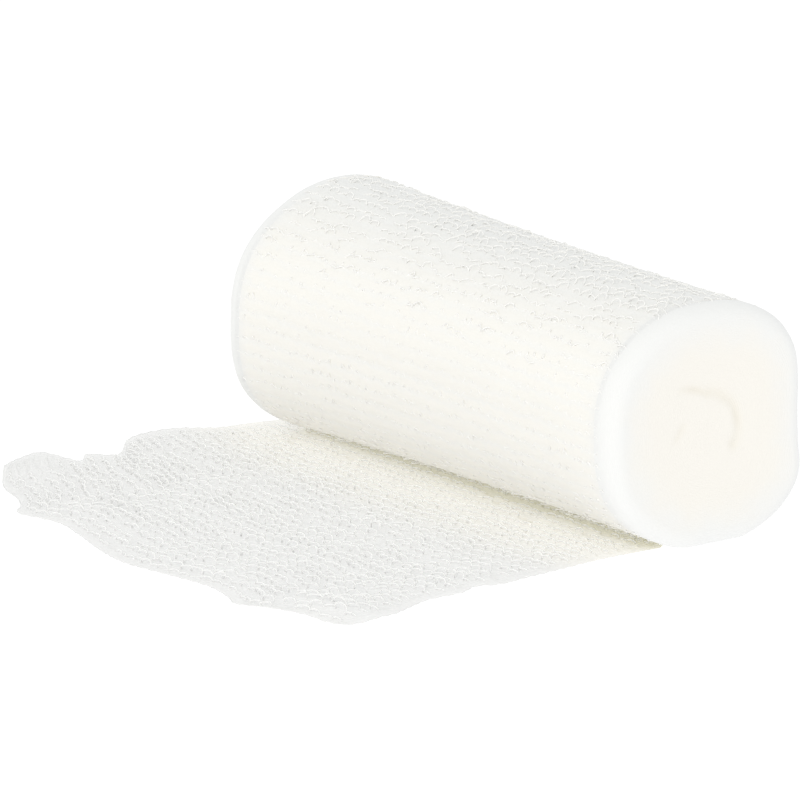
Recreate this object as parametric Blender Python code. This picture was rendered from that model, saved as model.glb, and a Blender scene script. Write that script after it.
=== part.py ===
"""Knitted gauze bandage, partly unrolled: the wound roll lies on its own loose end.

Metres, +Z up. The roll's axis runs along X, its open end face looks to +X, and the loose end
runs out from under the roll towards -Y. The origin is at the centre of the underside's box.
"""
import math
from collections import namedtuple

import bpy
import bmesh
from mathutils import Vector

MM = 0.001

# Rows of the tables below; every length in them is in mm.
SectionRow = namedtuple("SectionRow", "degrees open_end far_end")
FaceRow = namedtuple("FaceRow", "share depth")
EdgeRow = namedtuple("EdgeRow", "x y lift")
Ripple = namedtuple("Ripple", "x y heading half_length half_width height")

# Driving dimensions of the wound roll.
ROLL_LENGTH = 100.6 * MM
AXIS_HEIGHT = 20.0 * MM  # winding centre above the surface
RIM_RADIUS = 3.2 * MM  # soft rounding where the winding's side meets its end faces
SIDE_STEPS = 48  # points round the section
STEP_WIDTH = 1.5  # degrees over which the outer turn's step stands up
WAIST = 0.6 * MM  # how much slimmer the winding is at its middle
LENGTH_STEPS = 8  # bays along the straight side
RIM_STEPS = 4

# Driving dimensions of the loose end.
CLOTH = 1.2 * MM  # thickness of the sheet
GAP = 0.3 * MM  # clearance between the two pieces
REST = CLOTH + GAP  # the roll's flat spot lies this high, on top of the sheet
ACROSS_STEPS = 46  # bays from selvedge to selvedge
ALONG_STEPS = 32  # bays from the roll to the cut end
TUCK_ANGLE = 255.0  # where the sheet passes under the flat spot
WRAP_ANGLE = 315.0  # how far up the back it lies before it is flush with the winding's outer turn
WRAP_STEPS = 8
SEAT_ANGLES = (270.0, 292.5)  # over this turn the winding draws in to make room for the sheet
SEAT_END = 45.0 * MM  # the draw stops here, just past the sheet's edge, short of the open end
EDGE_FADE = 9.0 * MM  # how far in from an edge its lift dies away
SETTLE = 0.15 * MM  # swells lower than this settle flat on the surface
CURVE_STEPS = 12  # points between two rows of an outline

# Section of the winding: slumped, so wider at its foot than a circle.
# Degrees from the back (+Y) round over the top, then the radius at the open end and at the far end.
SECTION = (
    SectionRow(0.0, 18.9, 19.7), SectionRow(15.0, 19.6, 20.2),
    SectionRow(30.0, 20.9, 21.4), SectionRow(45.0, 21.2, 22.1),
    SectionRow(60.0, 20.6, 22.5), SectionRow(75.0, 19.9, 22.2),
    SectionRow(90.0, 19.5, 21.8), SectionRow(105.0, 19.8, 21.5),
    SectionRow(120.0, 20.2, 21.3), SectionRow(135.0, 20.6, 21.5),
    SectionRow(150.0, 20.8, 21.6), SectionRow(165.0, 20.5, 21.3),
    SectionRow(180.0, 20.1, 21.0), SectionRow(195.0, 20.3, 21.5),
    SectionRow(210.0, 20.6, 22.0), SectionRow(225.0, 20.3, 21.7),
    SectionRow(240.0, 20.0, 21.1), SectionRow(255.0, 20.0, 20.6),
    SectionRow(270.0, 20.2, 20.4), SectionRow(285.0, 20.8, 21.3),
    SectionRow(300.0, 21.5, 22.2), SectionRow(315.0, 22.2, 22.4),
    SectionRow(330.0, 22.0, 22.1), SectionRow(345.0, 19.7, 20.5),
)

# End face from the rim inwards: share of the rim's inner radius, depth below the face.
END_FACE = (
    FaceRow(0.90, 0.10),
    FaceRow(0.72, 0.25),
    FaceRow(0.52, 0.40),
    FaceRow(0.42, 0.50),
    FaceRow(0.36, 1.00),
    FaceRow(0.30, 0.60),
    FaceRow(0.16, 0.55),
)
FACE_CENTRE_DEPTH = 0.7 * MM
CORE_SHIFT = 1.2 * MM  # the collapsed middle of the winding lies behind the axis

# Outline of the loose end as it lies: x, y and how far the underside lifts off the surface.
# Selvedge on the open end's side, from the roll outwards.
NEAR_SELVEDGE = (
    EdgeRow(44.2, -5.0, 0.0),
    EdgeRow(44.2, -16.0, 0.0),
    EdgeRow(45.2, -25.0, 0.1),
    EdgeRow(46.6, -33.0, 0.3),
    EdgeRow(47.4, -38.5, 0.4),
    EdgeRow(45.6, -42.0, 0.2),
    EdgeRow(47.6, -46.0, 0.4),
    EdgeRow(46.9, -51.5, 0.1),
    EdgeRow(48.8, -56.0, 0.3),
    EdgeRow(51.2, -61.0, 0.5),
    EdgeRow(52.2, -66.0, 0.3),
    EdgeRow(51.6, -69.0, 0.1),
    EdgeRow(50.2, -70.8, 0.0),
)
# Selvedge on the far side, which ripples and lifts more.
FAR_SELVEDGE = (
    EdgeRow(-54.6, -5.0, 0.0),
    EdgeRow(-54.4, -12.0, 0.5),
    EdgeRow(-54.3, -19.0, 0.8),
    EdgeRow(-57.6, -25.0, 0.9),
    EdgeRow(-58.4, -30.5, 0.8),
    EdgeRow(-57.0, -35.0, 0.6),
    EdgeRow(-51.6, -40.5, 0.2),
    EdgeRow(-53.2, -45.5, 0.7),
    EdgeRow(-52.0, -47.8, 0.2),
    EdgeRow(-56.6, -52.0, 1.2),
    EdgeRow(-55.6, -57.0, 0.9),
    EdgeRow(-53.4, -61.5, 0.5),
)
# Cut end, with its soft folds, from the open end's side to the far side.
CUT_END = (
    EdgeRow(50.2, -70.8, 0.0),
    EdgeRow(47.6, -71.8, 0.1),
    EdgeRow(43.5, -72.8, 0.5),
    EdgeRow(38.0, -75.8, 0.9),
    EdgeRow(32.0, -77.1, 0.3),
    EdgeRow(27.0, -75.4, 0.0),
    EdgeRow(21.0, -74.6, 0.2),
    EdgeRow(12.0, -76.2, 0.4),
    EdgeRow(3.0, -77.3, 0.3),
    EdgeRow(-6.0, -75.8, 0.1),
    EdgeRow(-15.0, -73.4, 0.0),
    EdgeRow(-23.0, -71.9, 0.2),
    EdgeRow(-30.0, -74.5, 0.6),
    EdgeRow(-34.5, -71.2, 0.3),
    EdgeRow(-39.0, -68.8, 0.1),
    EdgeRow(-45.5, -67.0, 0.3),
    EdgeRow(-53.4, -61.5, 0.5),
)

# Main soft ripples of the laid cloth, each a long low swell about its middle, heading in degrees.
RIPPLES = (
    Ripple(40.0, -68.0, 12.0, 12.0, 3.0, 1.1),
    Ripple(26.0, -60.0, 20.0, 16.0, 5.0, 0.4),
    Ripple(-20.0, -63.0, -8.0, 20.0, 4.5, 0.5),
    Ripple(-46.0, -56.0, 35.0, 9.0, 4.0, 0.6),
    Ripple(-50.0, -30.0, 80.0, 9.0, 3.5, 0.5),
    Ripple(8.0, -40.0, 5.0, 26.0, 5.0, 0.3),
    Ripple(43.0, -36.0, 75.0, 10.0, 3.5, 0.4),
)


def hermite(before, start, end, after, share):
    """Smooth value between start and end, with the slopes that the neighbours give."""
    rise = (end - before) / 2
    fall = (after - start) / 2
    s2 = share * share
    s3 = s2 * share
    return ((2 * s3 - 3 * s2 + 1) * start + (s3 - 2 * s2 + share) * rise
            + (3 * s2 - 2 * s3) * end + (s3 - s2) * fall)


def section_radius(degrees, x):
    """Radius of the winding's section at an angle, between its two end sections."""
    count = len(SECTION)
    place = (degrees % 360.0) / (360.0 / count)
    row = int(place)
    share = place - row
    rows = [SECTION[(row + step) % count] for step in (-1, 0, 1, 2)]
    open_end = hermite(*(row.open_end for row in rows), share)
    far_end = hermite(*(row.far_end for row in rows), share)
    along = 0.5 - x / ROLL_LENGTH
    waist = WAIST * max(1.0 - (2 * x / ROLL_LENGTH) ** 2, 0.0)
    return (open_end + (far_end - open_end) * along) * MM - waist


def seat_depth(degrees):
    """How far the winding draws in under the sheet that leaves it, up to the step at WRAP_ANGLE."""
    start, end = SEAT_ANGLES
    if degrees > WRAP_ANGLE:
        return 0.0
    return REST * min(max((degrees - start) / (end - start), 0.0), 1.0)


def wound_point(degrees, x, inset, floor):
    """Point of the section at an angle, `inset` below the outer turn and never under `floor`."""
    radius = section_radius(degrees, x) - inset
    angle = math.radians(degrees)
    height = AXIS_HEIGHT + radius * math.sin(angle)
    return Vector((x, radius * math.cos(angle), max(height, floor)))


def roll_ring(x, inset=0.0):
    """One ring of the winding's side, with an extra point for the step at WRAP_ANGLE."""
    angles = [360.0 * step / SIDE_STEPS for step in range(SIDE_STEPS)] + [WRAP_ANGLE + STEP_WIDTH]
    seated = 1.0 - inset / RIM_RADIUS if x <= SEAT_END else 0.0
    return [wound_point(angle, x, inset + seated * seat_depth(angle), REST + inset)
            for angle in sorted(angles)]


def even_points(rows, count):
    """Points at even distances along a smooth curve through the rows' points."""
    points = [Vector(row) * MM for row in rows]
    padded = [points[0] * 2 - points[1]] + points + [points[-1] * 2 - points[-2]]
    trail = []
    for index in range(1, len(points)):
        around = padded[index - 1:index + 3]
        for step in range(CURVE_STEPS):
            share = step / CURVE_STEPS
            trail.append(Vector(hermite(*(p[axis] for p in around), share) for axis in range(3)))
    trail.append(points[-1])
    reached = [0.0]
    for start, end in zip(trail, trail[1:]):
        reached.append(reached[-1] + (end - start).length)
    even = []
    index = 1
    for step in range(count + 1):
        target = reached[-1] * step / count
        while index < len(trail) - 1 and reached[index] < target:
            index += 1
        share = (target - reached[index - 1]) / (reached[index] - reached[index - 1])
        even.append(trail[index - 1].lerp(trail[index], share))
    return even


def ripple_height(x, y):
    """Summed swell of the laid cloth at a place."""
    total = 0.0
    for ripple in RIPPLES:
        angle = math.radians(ripple.heading)
        dx = x - ripple.x * MM
        dy = y - ripple.y * MM
        along = (dx * math.cos(angle) + dy * math.sin(angle)) / (ripple.half_length * MM)
        aside = (dy * math.cos(angle) - dx * math.sin(angle)) / (ripple.half_width * MM)
        total += ripple.height * MM * math.exp(-(along ** 2 + aside ** 2))
    return total


def skin_rings(bm, rings):
    """Join closed rings of points with bands of quads and give back the rings' vertices."""
    verts = [[bm.verts.new(point) for point in ring] for ring in rings]
    for ring, following in zip(verts, verts[1:]):
        for index in range(len(ring)):
            ahead = (index + 1) % len(ring)
            bm.faces.new((ring[index], ring[ahead], following[ahead], following[index]))
    return verts


def finish_piece(name, bm, colour, roughness, parent):
    """Turn the mesh into a named object with its own material."""
    bmesh.ops.recalc_face_normals(bm, faces=bm.faces)
    mesh = bpy.data.meshes.new(name)
    bm.to_mesh(mesh)
    bm.free()
    mesh.shade_smooth()
    mesh.set_sharp_from_angle(angle=math.radians(50.0))
    material = bpy.data.materials.new(name + "_cloth")
    material.use_nodes = True
    shader = material.node_tree.nodes["Principled BSDF"]
    shader.inputs["Base Color"].default_value = (*colour, 1.0)
    shader.inputs["Roughness"].default_value = roughness
    shader.inputs["Metallic"].default_value = 0.0
    mesh.materials.append(material)
    piece = bpy.data.objects.new(name, mesh)
    piece.parent = parent
    parent.users_collection[0].objects.link(piece)
    return piece


def end_rings(side):
    """Rings of one end, from the side's last full section in over the rim to the middle."""
    face_x = side * ROLL_LENGTH / 2
    rings = []
    for step in range(RIM_STEPS + 1):
        turn = math.radians(90.0 * step / RIM_STEPS)
        x = face_x - side * RIM_RADIUS * (1 - math.sin(turn))
        rings.append(roll_ring(x, RIM_RADIUS * (1 - math.cos(turn))))
    middle = Vector((face_x, 0.0, AXIS_HEIGHT))
    rim = rings[-1]
    spokes = [point - middle for point in rim]
    mean_radius = sum(spoke.length for spoke in spokes) / len(spokes)
    for row in END_FACE:
        centre = middle + Vector((-side * row.depth * MM, CORE_SHIFT * (1 - row.share), 0.0))
        rounder = [spoke.normalized().lerp(spoke / mean_radius, row.share) for spoke in spokes]
        rings.append([centre + spoke * mean_radius * row.share for spoke in rounder])
    core = middle + Vector((-side * FACE_CENTRE_DEPTH, CORE_SHIFT, 0.0))
    return rings, core


def wound_roll(parent):
    """The winding: one lofted solid with soft rims, a sunk core ring and a flat spot."""
    bm = bmesh.new()
    near_rings, near_core = end_rings(1)
    far_rings, far_core = end_rings(-1)
    far_x = RIM_RADIUS - ROLL_LENGTH / 2
    side_rings = [roll_ring(SEAT_END + (far_x - SEAT_END) * step / LENGTH_STEPS)
                  for step in range(LENGTH_STEPS)]
    verts = skin_rings(bm, near_rings[::-1] + side_rings + far_rings)
    for ring, core in ((verts[0], near_core), (verts[-1], far_core)):
        tip = bm.verts.new(core)
        for index in range(len(ring)):
            bm.faces.new((ring[index - 1], ring[index], tip))
    return finish_piece("wound_roll", bm, (0.93, 0.91, 0.85), 0.9, parent)


def fade(distance):
    """How much of an edge's lift is left at a distance in from it."""
    return math.exp(-((distance / EDGE_FADE) ** 2))


def laid_stations():
    """Rows of the sheet from the flat spot out to the cut end, spanned between its edges.

    Each point is a place with the height of the underside.
    """
    near = even_points(NEAR_SELVEDGE, ALONG_STEPS)
    far = even_points(FAR_SELVEDGE, ALONG_STEPS)
    cut = even_points(CUT_END, ACROSS_STEPS)
    width = (near[0] - far[0]).length
    length = (near[0] - near[-1]).length
    stations = []
    for row in range(ALONG_STEPS + 1):
        t = row / ALONG_STEPS
        station = []
        for column in range(ACROSS_STEPS + 1):
            s = column / ACROSS_STEPS
            tuck = near[0].lerp(far[0], s)
            corners = tuck.lerp(near[-1].lerp(far[-1], s), t)
            place = near[row].lerp(far[row], s) + tuck.lerp(cut[column], t) - corners
            lift = (near[row].z * fade(s * width) + far[row].z * fade((1 - s) * width)
                    + cut[column].z * fade((1 - t) * length) + t * ripple_height(place.x, place.y))
            station.append(Vector((place.x, place.y, max(lift - SETTLE, 0.0))))
        stations.append(station)
    return stations


def loose_end(parent):
    """The loose end: one sheet, up from under the roll at the back and laid out in front."""
    rings = []
    flat = laid_stations()
    near_tuck = flat[0][0].x
    far_tuck = flat[0][-1].x
    far_joined = RIM_RADIUS / 2 - ROLL_LENGTH / 2
    for step in range(WRAP_STEPS, 0, -1):
        share = step / WRAP_STEPS
        angle = TUCK_ANGLE + (WRAP_ANGLE - TUCK_ANGLE) * share
        far_x = far_tuck + (far_joined - far_tuck) * share
        xs = [near_tuck + (far_x - near_tuck) * i / ACROSS_STEPS for i in range(ACROSS_STEPS + 1)]
        upper = [wound_point(angle, x, seat_depth(angle) * CLOTH / REST, CLOTH) for x in xs]
        lower = [wound_point(angle, x, 0.0, 0.0) for x in xs]
        rings.append(upper + lower[::-1])
    for station in flat:
        upper = [place + Vector((0.0, 0.0, CLOTH)) for place in station]
        rings.append(upper + station[::-1])
    bm = bmesh.new()
    verts = skin_rings(bm, rings)
    for ring in (verts[0], verts[-1]):
        last = len(ring) - 1
        for index in range(ACROSS_STEPS):
            bm.faces.new((ring[index], ring[index + 1], ring[last - index - 1], ring[last - index]))
    return finish_piece("loose_end", bm, (0.86, 0.86, 0.85), 0.9, parent)


def clear_scene():
    for piece in list(bpy.data.objects):
        bpy.data.objects.remove(piece, do_unlink=True)


def main():
    clear_scene()
    collection = bpy.data.collections.new("gauze_bandage_roll")
    bpy.context.scene.collection.children.link(collection)
    frame = bpy.data.objects.new("bandage", None)
    collection.objects.link(frame)
    pieces = (wound_roll(frame), loose_end(frame))
    corners = [vert.co for piece in pieces for vert in piece.data.vertices]
    low = [min(corner[axis] for corner in corners) for axis in range(3)]
    high = [max(corner[axis] for corner in corners) for axis in range(3)]
    frame.location = (-(low[0] + high[0]) / 2, -(low[1] + high[1]) / 2, -low[2])
    bpy.context.view_layer.update()


main()
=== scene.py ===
"""Looks of the knitted gauze bandage roll: its finishes, fine turns, selvedges and every yarn loop.

Metres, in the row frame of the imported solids. Sizes below are in mm, in the bandage's own frame:
the roll's axis runs along X over y = 0, its open end face looks to +X, and the loose end runs out
towards -Y. Stitches are counted across the cloth and courses along it.
"""
import math
from collections import namedtuple

import bpy
import numpy as np
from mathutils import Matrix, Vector


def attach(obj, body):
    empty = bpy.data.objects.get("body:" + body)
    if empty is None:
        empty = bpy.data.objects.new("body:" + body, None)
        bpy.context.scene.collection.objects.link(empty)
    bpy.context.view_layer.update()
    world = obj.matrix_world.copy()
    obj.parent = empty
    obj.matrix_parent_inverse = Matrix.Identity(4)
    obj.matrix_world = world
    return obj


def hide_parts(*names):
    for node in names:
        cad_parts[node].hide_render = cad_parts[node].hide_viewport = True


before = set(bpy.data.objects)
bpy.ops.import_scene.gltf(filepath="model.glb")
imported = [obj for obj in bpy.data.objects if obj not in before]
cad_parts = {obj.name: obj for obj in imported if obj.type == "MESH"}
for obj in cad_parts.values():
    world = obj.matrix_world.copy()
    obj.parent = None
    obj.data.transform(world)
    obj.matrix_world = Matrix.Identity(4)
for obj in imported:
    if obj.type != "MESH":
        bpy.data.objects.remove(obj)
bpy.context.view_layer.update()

MM = 0.001

# ---------------------------------------------------------------- sizes and tables, in mm

SectionRow = namedtuple("SectionRow", "degrees open_end far_end")
FaceRow = namedtuple("FaceRow", "share depth")
EdgeRow = namedtuple("EdgeRow", "x y lift")
Ripple = namedtuple("Ripple", "x y heading half_length half_width height")
Gap = namedtuple("Gap", "route width depth")
Ring = namedtuple("Ring", "points radius gap")
Yarn = namedtuple("Yarn", "steps height share skipped bulge pinch skew lean spread "
                          "sway wander radius sides seed")
Courses = namedtuple("Courses", "degrees sunk laid_flat seed")
Lamp = namedtuple("Lamp", "azimuth elevation distance size watts colour")

ROLL_PLACE = (3.129, 28.791, 0.0)  # where the winding's axis foot stands in the row frame
ROLL_LENGTH = 100.6
AXIS_HEIGHT = 20.0
RIM_RADIUS = 3.2  # soft rounding where the winding's side meets its end faces
WAIST = 0.6  # how much slimmer the winding is at its middle
CORE_SHIFT = 1.2  # how far the winding's core lies towards the back
FACE_CENTRE_DEPTH = 0.7
REST = 1.5  # the flat spot lies this high, on the loose end
SEAT_ANGLES = (270.0, 292.5)  # over this turn the winding draws in to make room for the sheet
SEAT_END = 45.0  # the draw stops here, short of the open end
DROOP = 0.3  # past the sheet the soft open end hangs this low
DROOP_RUN = 3.0
TUCK_ANGLE = 255.0  # where the sheet passes under the flat spot
WRAP_ANGLE = 315.0  # how far up the winding's back it lies
EDGE_FADE = 9.0  # how far in from an edge its lift dies away
SETTLE = 0.15  # swells lower than this settle flat

TURN_STEP = 2.0  # degrees between two points round the winding
SIDE_RINGS = 96
RIM_STEPS = 10
FACE_RINGS = 64
STEP_BITE = (-0.01, 0.8)  # degrees before and after the outer turn's step
GROUND_DEPTH = 0.35  # the knit's ground lies this far inside the solid's outer surface
GROUND_HEIGHT = 0.35  # and this high above the surface the loose end lies on
SHEET_THICKNESS = 0.12
QUILT = (0.06, 0.05)  # swell of the loose ground at each course and at each stitch
YARN_SUNK = 0.2  # between two loops the yarn dips this far under the ground
FRONT_SUNK = 0.11  # and this far on the front of the roll
TURN_PITCH = 0.35  # one turn of the winding, seen on the end faces
RIM_MAP = 17.4  # mean radius at which the flat of the end face meets its rim

STITCHES = 50  # from selvedge to selvedge
COURSE_DEGREES = 6.4  # one course round the winding's side
LOOSE_COURSES = 31
COURSE_NEAR = 2.1  # course pitch by the roll, still stretched
COURSE_FAR = 2.35  # course pitch in the relaxed cloth
SELVEDGE = 2.2  # plain band without loops along each edge of the cloth
OUTLINE_POINTS = 400
CURVE_STEPS = 24  # points between two rows of an outline

SECTION = (
    SectionRow(0.0, 18.9, 19.7), SectionRow(15.0, 19.6, 20.2),
    SectionRow(30.0, 20.9, 21.4), SectionRow(45.0, 21.2, 22.1),
    SectionRow(60.0, 20.6, 22.5), SectionRow(75.0, 19.9, 22.2),
    SectionRow(90.0, 19.5, 21.8), SectionRow(105.0, 19.8, 21.5),
    SectionRow(120.0, 20.2, 21.3), SectionRow(135.0, 20.6, 21.5),
    SectionRow(150.0, 20.8, 21.6), SectionRow(165.0, 20.5, 21.3),
    SectionRow(180.0, 20.1, 21.0), SectionRow(195.0, 20.3, 21.5),
    SectionRow(210.0, 20.6, 22.0), SectionRow(225.0, 20.3, 21.7),
    SectionRow(240.0, 20.0, 21.1), SectionRow(255.0, 20.0, 20.6),
    SectionRow(270.0, 20.2, 20.4), SectionRow(285.0, 20.8, 21.3),
    SectionRow(300.0, 21.5, 22.2), SectionRow(315.0, 22.2, 22.4),
    SectionRow(330.0, 22.0, 22.1), SectionRow(345.0, 19.7, 20.5),
)
END_FACE = (
    FaceRow(1.00, 0.00),
    FaceRow(0.90, 0.10),
    FaceRow(0.72, 0.25),
    FaceRow(0.52, 0.40),
    FaceRow(0.42, 0.50),
    FaceRow(0.30, 0.55),
    FaceRow(0.16, 0.60),
    FaceRow(0.00, 0.70),
)
# Gaps left where the innermost turns have collapsed: the route as (degrees, radius), width and depth.
CORE_GAPS = (
    Gap(((-52.0, 5.0), (-16.0, 5.2), (12.0, 4.7), (65.0, 4.7), (107.0, 5.8), (134.0, 9.0)), 0.95, 0.2),
    Gap(((170.0, 6.0), (181.0, 6.4), (192.0, 7.4)), 0.8, 0.15),
)
GAP_OPENS = (-8.0, 12.0)  # degrees from a gap's start over which it opens
GAP_CLOSES = (-14.0, 8.0)  # degrees from its end over which it closes
GAP_LEAD = 20.0  # degrees ahead of its start at which the count of degrees begins
NEAR_SELVEDGE = (
    EdgeRow(44.2, -5, 0.0), EdgeRow(44.2, -16, 0.0), EdgeRow(45.2, -25, 0.1),
    EdgeRow(46.6, -33, 0.3), EdgeRow(47.4, -38.5, 0.4), EdgeRow(45.6, -42, 0.2),
    EdgeRow(47.6, -46, 0.4), EdgeRow(46.9, -51.5, 0.1), EdgeRow(48.8, -56, 0.3),
    EdgeRow(51.2, -61, 0.5), EdgeRow(52.2, -66, 0.3), EdgeRow(51.6, -69, 0.1),
    EdgeRow(50.2, -70.8, 0.0),
)
FAR_SELVEDGE = (
    EdgeRow(-54.6, -5, 0.0), EdgeRow(-54.4, -12, 0.5), EdgeRow(-54.3, -19, 0.8),
    EdgeRow(-57.6, -25, 0.9), EdgeRow(-58.4, -30.5, 0.8), EdgeRow(-57, -35, 0.6),
    EdgeRow(-51.6, -40.5, 0.2), EdgeRow(-53.2, -45.5, 0.7), EdgeRow(-52, -47.8, 0.2),
    EdgeRow(-56.6, -52, 1.2), EdgeRow(-55.6, -57, 0.9), EdgeRow(-53.4, -61.5, 0.5),
)
CUT_END = (
    EdgeRow(50.2, -70.8, 0.0), EdgeRow(47.6, -71.8, 0.1), EdgeRow(43.5, -72.8, 0.5),
    EdgeRow(38, -75.8, 0.9), EdgeRow(32, -77.1, 0.3), EdgeRow(27, -75.4, 0.0),
    EdgeRow(21, -74.6, 0.2), EdgeRow(12, -76.2, 0.4), EdgeRow(3, -77.3, 0.3),
    EdgeRow(-6, -75.8, 0.1), EdgeRow(-15, -73.4, 0.0), EdgeRow(-23, -71.9, 0.2),
    EdgeRow(-30, -74.5, 0.6), EdgeRow(-34.5, -71.2, 0.3), EdgeRow(-39, -68.8, 0.1),
    EdgeRow(-45.5, -67, 0.3), EdgeRow(-53.4, -61.5, 0.5),
)
FAR_CORNER = (-54.5, -58.0)  # the cloth lies smooth here
SMOOTH_REACH = (5.0, 10.0)  # from the far corner out to where the loops begin
RIPPLES = (
    Ripple(40, -68, 12, 12, 3, 1.1),
    Ripple(26, -60, 20, 16, 5, 0.4),
    Ripple(-20, -63, -8, 20, 4.5, 0.5),
    Ripple(-46, -56, 35, 9, 4, 0.6),
    Ripple(-50, -30, 80, 9, 3.5, 0.5),
    Ripple(8, -40, 5, 26, 5, 0.3),
    Ripple(43, -36, 75, 10, 3.5, 0.4),
)

TOP_YARN = Yarn(steps=8, height=0.85, share=0.94, skipped=0.0, bulge=0.12, pinch=0.65, skew=0.25, lean=0.9,
                spread=0.9, sway=-0.2, wander=0.6, radius=0.115, sides=4, seed=3)
FRONT_YARN = Yarn(steps=8, height=0.25, share=0.85, skipped=0.0, bulge=-0.2, pinch=1.9, skew=0.2, lean=3.4,
                  spread=1.2, sway=0.0, wander=0.4, radius=0.1, sides=4, seed=4)
LOOSE_YARN = Yarn(steps=8, height=1.35, share=0.96, skipped=0.15, bulge=0.1, pinch=0.75, skew=0.0, lean=0.1,
                  spread=0.3, sway=-0.35, wander=0.2, radius=0.12, sides=4, seed=8)
# How much one loop differs from the next, in shares of the yarn's own values.
HEIGHT_RANGE = (0.5, 1.2)
BULGE_RANGE = (0.5, 1.3)
SKEW_RANGE = (-0.6, 1.6)
DRIFT_SCALE = 900.0
IDS_A_COURSE = 101.0  # more than a course's stitches, so each loop has its own number

# Courses on the winding's side: where the loops stand up, and where they lie nearly flat.
TOP_COURSES = Courses(degrees=(-43.0, 152.0), sunk=YARN_SUNK, laid_flat=0.8, seed=21)
FRONT_COURSES = Courses(degrees=(136.0, 248.0), sunk=FRONT_SUNK, laid_flat=0.0, seed=23)
LAID_FLAT_OVER = (112.0, 158.0)  # degrees over which more and more of the top's loops lie flat
PRESSED_AT = (62.0, 12.0, 0.7)  # degrees, half width and share of a strip that was pressed down
FOOT_OVER = (208.0, 234.0)  # degrees over which the loops stand up again towards the foot
COURSE_JITTER = 1.6  # degrees
COURSE_WAVE = (0.5, 9.0)  # degrees, and mm of the roll's length to one radian
BARE_RIM = (2.0, 1.0)  # loops end from this far before the rim to this far over it
LOOPS_OVER_RIM = 84.0  # degrees past which some slack is left over the open end's rim
RIM_SHARE = 0.6  # the courses reach over the rim by this share of its radius
ROLL_SLACK = (0.6, 1.15)  # of the tautest and the slackest stitch

# Courses of the loose end.
LOOSE_JITTER = (0.12, 0.15)  # shares of a stitch across and of a course along
LOOSE_SLACK = (0.7, 1.1)
EASED_OVER = (5.0, 24.0)  # distance from the crease over which half the slack comes in
BARE_CUT = (1.0, 3.0)  # distance from the cut end over which the loops begin
WRAP_LOWEST = 286.0  # degrees; lower on the winding's back the sheet has no courses
WRAP_CLEAR = (1.0, 3.5)  # heights over which the loops begin there

# Where the meshes' painted light and shade for their materials begin and end.
TOP_LOOP_SHADE = (86.0, 154.0)  # degrees over which the painted shade under the top's loops ends
FOOT_LOOP_SHADE = (246.0, 256.0)  # and over which it begins again at the foot
ROLL_BOUNCE_REACH = (6.0, 24.0)  # distance from the crease over which the painted bounce light from the winding, and the sheet's extra see-through there, end
CREASE_WRAP = (272.0, 290.0)  # degrees over which the crease's painted shade ends on the winding's back
CREASE_LINE = (0.9, 3.2)  # distance over which most of it ends in front
CREASE_HALO = (2.0, 9.0)  # and the rest of it
CREASE_PAST = 4.0  # how far past the draw it runs on

# ---------------------------------------------------------------- colours and light

SIDE_COLOURS = ((0.93, 0.915, 0.875, 1), (0.90, 0.885, 0.84, 1))
SIDE_LOOP_SHADE = (0.855, 0.86, 0.852, 0.9)  # painted shade under the standing loops, with its share
SIDE_RIB = (0.88, 0.885, 0.875, 1)
SIDE_RIM = (0.87, 0.87, 0.86, 1)
LOOSE_COLOURS = ((0.92, 0.92, 0.915, 1), (0.87, 0.87, 0.865, 1))
LOOSE_ROLL_BOUNCE = (0.90, 0.875, 0.79, 0.75)  # painted warm bounce light from the winding, with its share
# painted olive shade in the crease under the winding
CREASE_SHADE_COLOUR = (0.80, 0.77, 0.54, 1)
RIM_COLOUR = (0.862, 0.867, 0.862, 1)
MIDDLE_COLOUR = (0.89, 0.865, 0.815, 1)
LAYER_COLOUR = (0.82, 0.79, 0.72, 1)
# painted brown shade in the gaps of the core
GAP_SHADE_COLOUR = (0.78, 0.73, 0.62, 1)
CREAM_YARN = ((0.975, 0.97, 0.955, 1), (0.945, 0.94, 0.92, 1))
WHITE_YARN = ((0.97, 0.97, 0.965, 1), (0.94, 0.94, 0.935, 1))
MIDDLE_REACH = (11.0, 19.5)  # radius over which the cream middle turns into the pale rim

BACKDROP = ((0.99, 1.0, 1.0, 1), 0.9)  # colour and strength
FLOOR_GREY = 0.2
FLOOR_GLOW = 0.9
FLOOR_REACH = 3.0  # metres
FLOOR_DROP = 0.02
# The lamp's distance and size are in metres.
FRONT_LIGHT = Lamp(azimuth=35.0, elevation=30.0, distance=1.6, size=1.1, watts=5.5, colour=(1.0, 0.96, 0.88))
LIGHT_AIM = (0, -10, 15)
CAMERA_SIDE = (53.44, 14.45)  # azimuth and elevation of the photo's view
CAMERA_DISTANCE = 1501.0
CAMERA_LENS = 426.9
CAMERA_AIM = (0, 0, 22)
AIM_SHIFT = (18.05, 7.78)  # the photo's middle lies this far left of and below that aim

# ---------------------------------------------------------------- surfaces of the cloth


def hermite(before, start, end, after, share):
    """Smooth value between start and end, with the slopes that the neighbours give."""
    s2, s3 = share ** 2, share ** 3
    return ((2 * s3 - 3 * s2 + 1) * start + (s3 - 2 * s2 + share) * (end - before) / 2
            + (3 * s2 - 2 * s3) * end + (s3 - s2) * (after - start) / 2)


def ramp(value, low, high):
    """Smooth step from 0 at low to 1 at high."""
    share = np.clip((np.asarray(value, float) - low) / (high - low), 0, 1)
    return share * share * (3 - 2 * share)


def section_radius(degrees, x):
    """Radius of the winding's section at an angle, between its two end sections."""
    ends = np.array([(row.open_end, row.far_end) for row in SECTION])
    place = (degrees % 360.0) / (360.0 / len(SECTION))
    row = np.floor(place).astype(int)
    share = place - row
    near, far = (hermite(*(ends[(row + step) % len(SECTION), side] for step in (-1, 0, 1, 2)), share)
                 for side in (0, 1))
    waist = WAIST * np.maximum(1 - (2 * x / ROLL_LENGTH) ** 2, 0)
    return near + (far - near) * (0.5 - x / ROLL_LENGTH) - waist


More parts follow.
